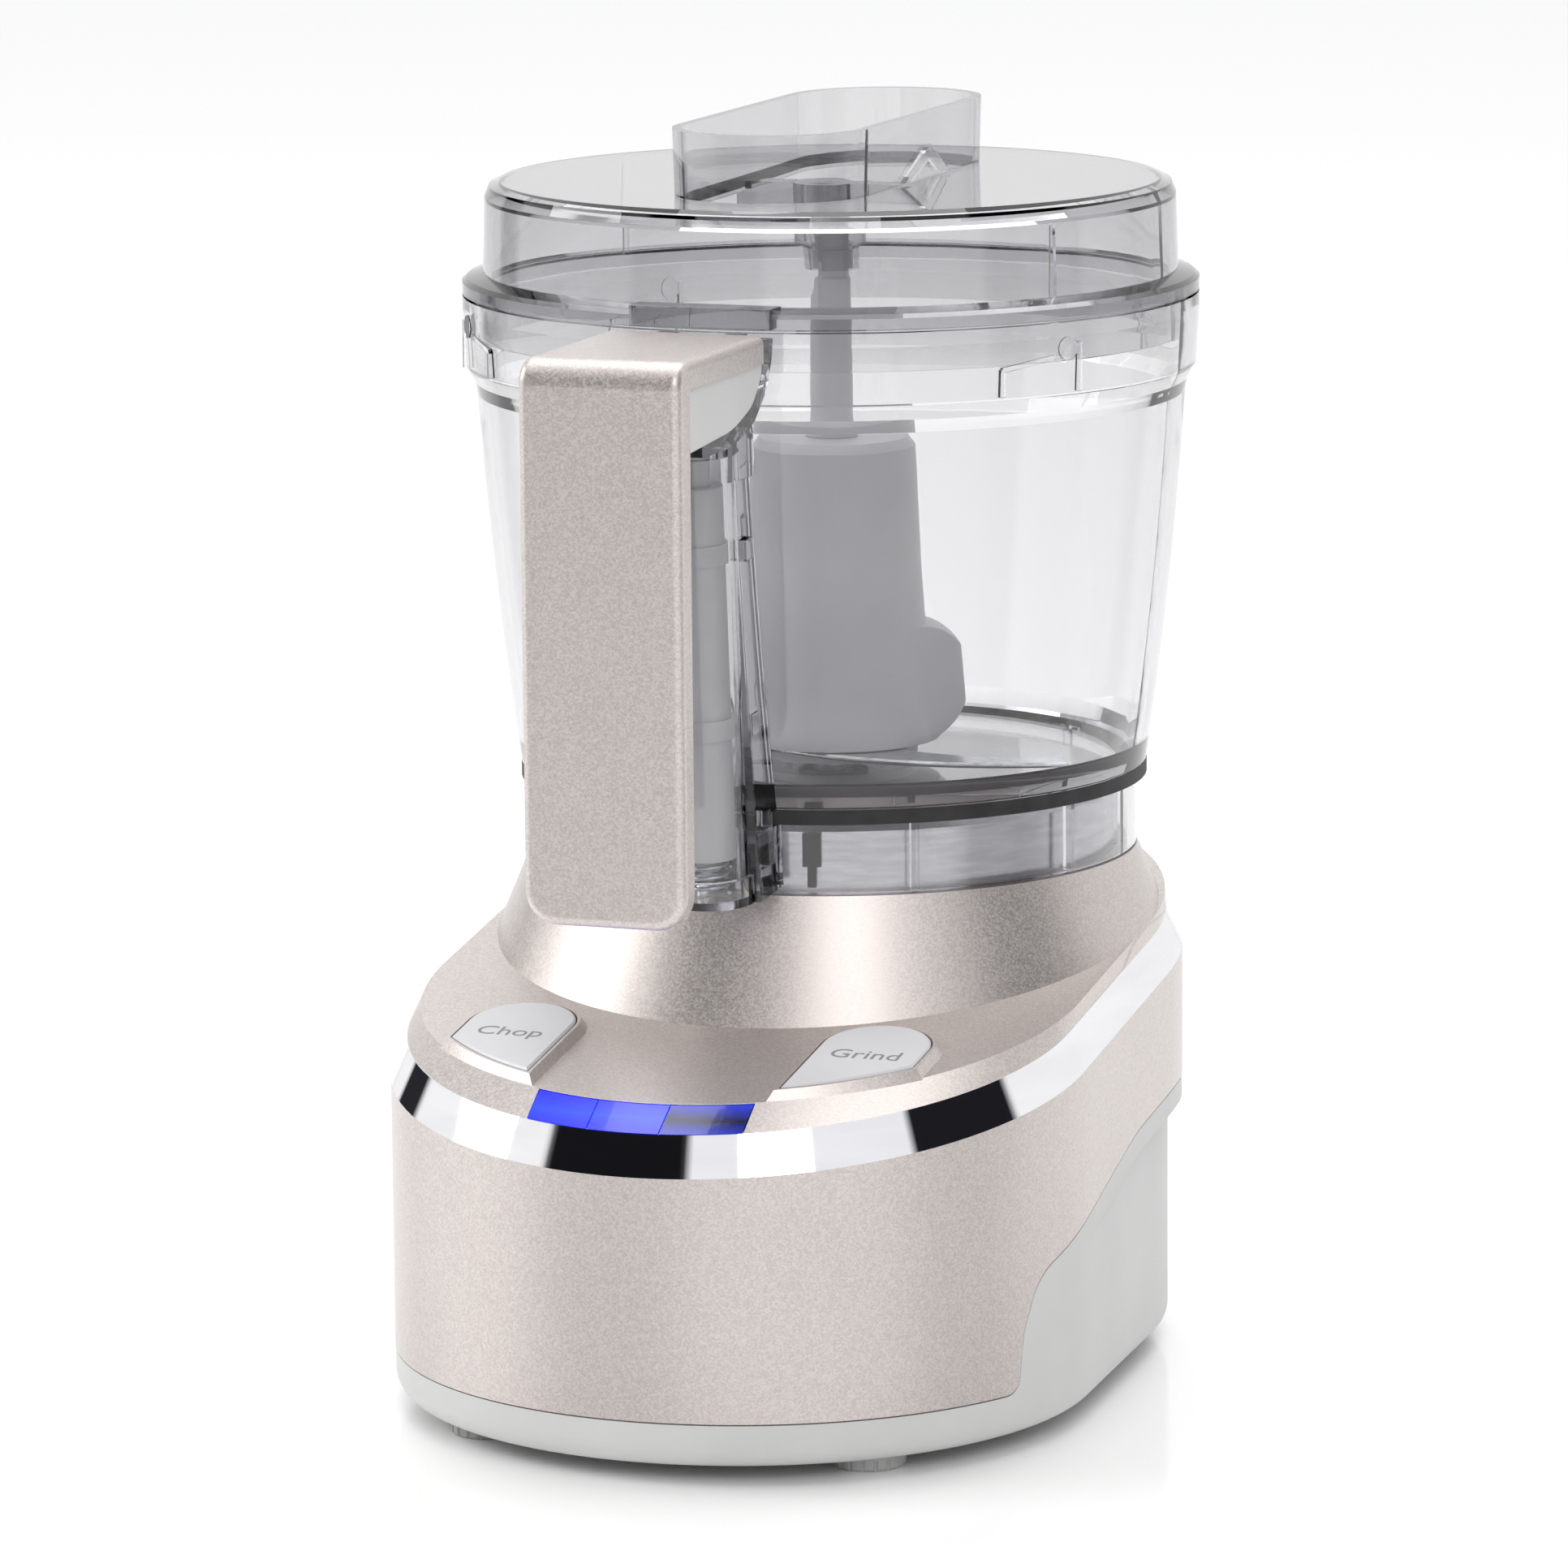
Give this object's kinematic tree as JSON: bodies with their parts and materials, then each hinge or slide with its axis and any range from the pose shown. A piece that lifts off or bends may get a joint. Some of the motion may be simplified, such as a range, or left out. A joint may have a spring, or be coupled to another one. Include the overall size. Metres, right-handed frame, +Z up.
{
  "type": "food_processor",
  "caption": "Cordless mini food processor: clear bowl with handle, clear lid with oval feed tube, twin-knife blade, silver base with chrome trim, round buttons and blue charge light",
  "frame": {"origin": "under the middle of the whole machine, on the surface it stands on", "axes": "+Z up, +X to the machine's right seen from the front, +Y from the handle and buttons to the rear"},
  "size_m": [0.148, 0.205, 0.2517],
  "materials": {
    "metallic_paint": "fine metallic flake paint under clear coat",
    "casing_grey": "fine spark-eroded grain",
    "chrome_plate": "polished",
    "clear_plastic": "clear, slightly smoky, polished",
    "hub_grey": "smooth satin",
    "knife_steel": "ground and polished",
    "button_grey": "satin gloss",
    "indicator_clear": "tinted lens",
    "black_rubber": "moulded",
    "foot_rubber": "moulded, ribbed edge",
    "black_plastic": "moulded",
    "frame_plastic": "glass filled",
    "board_green": "solder mask",
    "cell_wrap": "heat-shrink sleeve",
    "machined_steel": "turned",
    "zinc_steel": "zinc plated",
    "bronze": "sintered",
    "brass": "machined",
    "gear_nylon": "moulded"
  },
  "bodies": {
    "base": {"lower_shell": "metallic_paint", "rear_casing": "casing_grey", "bottom_cover": "casing_grey", "chrome_trim": "chrome_plate", "upper_housing": "metallic_paint", "bowl_seat": "metallic_paint", "spindle_bush": "bronze", "spindle_seal": "black_rubber", "motor_can": "zinc_steel", "gear_plate": "frame_plastic", "lower_bearing": "machined_steel", "chassis": "frame_plastic", "battery_cells": "cell_wrap", "battery_holder": "black_plastic", "control_board": "board_green", "button_switches": "black_plastic", "charging_jack": "black_plastic", "cover_screws": "zinc_steel", "plate_screws": "zinc_steel", "feet": "foot_rubber", "safety_switch": "black_plastic", "lock_catch": "black_plastic", "indicator_left": "indicator_clear", "indicator_middle": "indicator_clear", "indicator_right": "indicator_clear"},
    "drive": {"drive_spindle": "machined_steel", "drive_gear": "gear_nylon"},
    "pinion": {"motor_pinion": "brass"},
    "bowl_unit": {"bowl": "clear_plastic", "floor_ring": "black_rubber", "handle_cover": "metallic_paint", "handle_liner": "casing_grey", "handle_screws": "zinc_steel"},
    "blade": {"blade_hub": "hub_grey", "blade_stem": "hub_grey", "knife_collar": "hub_grey", "knife_front": "knife_steel", "knife_rear": "knife_steel"},
    "lid_unit": {"lid": "clear_plastic", "lid_mark": "clear_plastic", "stem_bush": "casing_grey"},
    "rod": {"interlock_rod": "casing_grey", "rod_spring": "zinc_steel"},
    "left_key": {"button_left": "button_grey"},
    "right_key": {"button_right": "button_grey"}
  },
  "joints": [
    {"name": "bowl_lift", "type": "slide", "parent": "base", "child": "bowl_unit", "axis": [0, 0, 1], "range_m": [0, 0.085]},
    {"name": "blade_spin", "type": "hinge", "parent": "bowl_unit", "child": "blade", "pos_m": [0, 0.0285, 0.1245], "axis": [0, 0, 1], "continuous": true},
    {"name": "lid_lift", "type": "slide", "parent": "bowl_unit", "child": "lid_unit", "axis": [0, 0, 1], "range_m": [0, 0.06]},
    {"name": "rod_press", "type": "slide", "parent": "bowl_unit", "child": "rod", "axis": [0, 0.0782, -0.9969], "range_m": [0, 0.0035], "stiffness_N_per_m": 600, "springref_m": -0.001, "deforming": ["rod_spring"]},
    {"name": "spindle_spin", "type": "hinge", "parent": "base", "child": "drive", "pos_m": [0, 0.0285, 0.0875], "axis": [0, 0, 1], "continuous": true},
    {"name": "pinion_spin", "type": "hinge", "parent": "base", "child": "pinion", "pos_m": [0, -0.0055, 0.0875], "axis": [0, 0, 1], "continuous": true},
    {"name": "left_key_press", "type": "slide", "parent": "base", "child": "left_key", "axis": [0, 0.1564, -0.9877], "range_m": [0, 0.0015], "stiffness_N_per_m": 700, "springref_m": -0.001},
    {"name": "right_key_press", "type": "slide", "parent": "base", "child": "right_key", "axis": [0, 0.1564, -0.9877], "range_m": [0, 0.0015], "stiffness_N_per_m": 700, "springref_m": -0.001}
  ],
  "couplings": [
    {"joint": "spindle_spin", "follows": "blade_spin", "ratio": 1},
    {"joint": "pinion_spin", "follows": "blade_spin", "ratio": -3.8571}
  ]
}
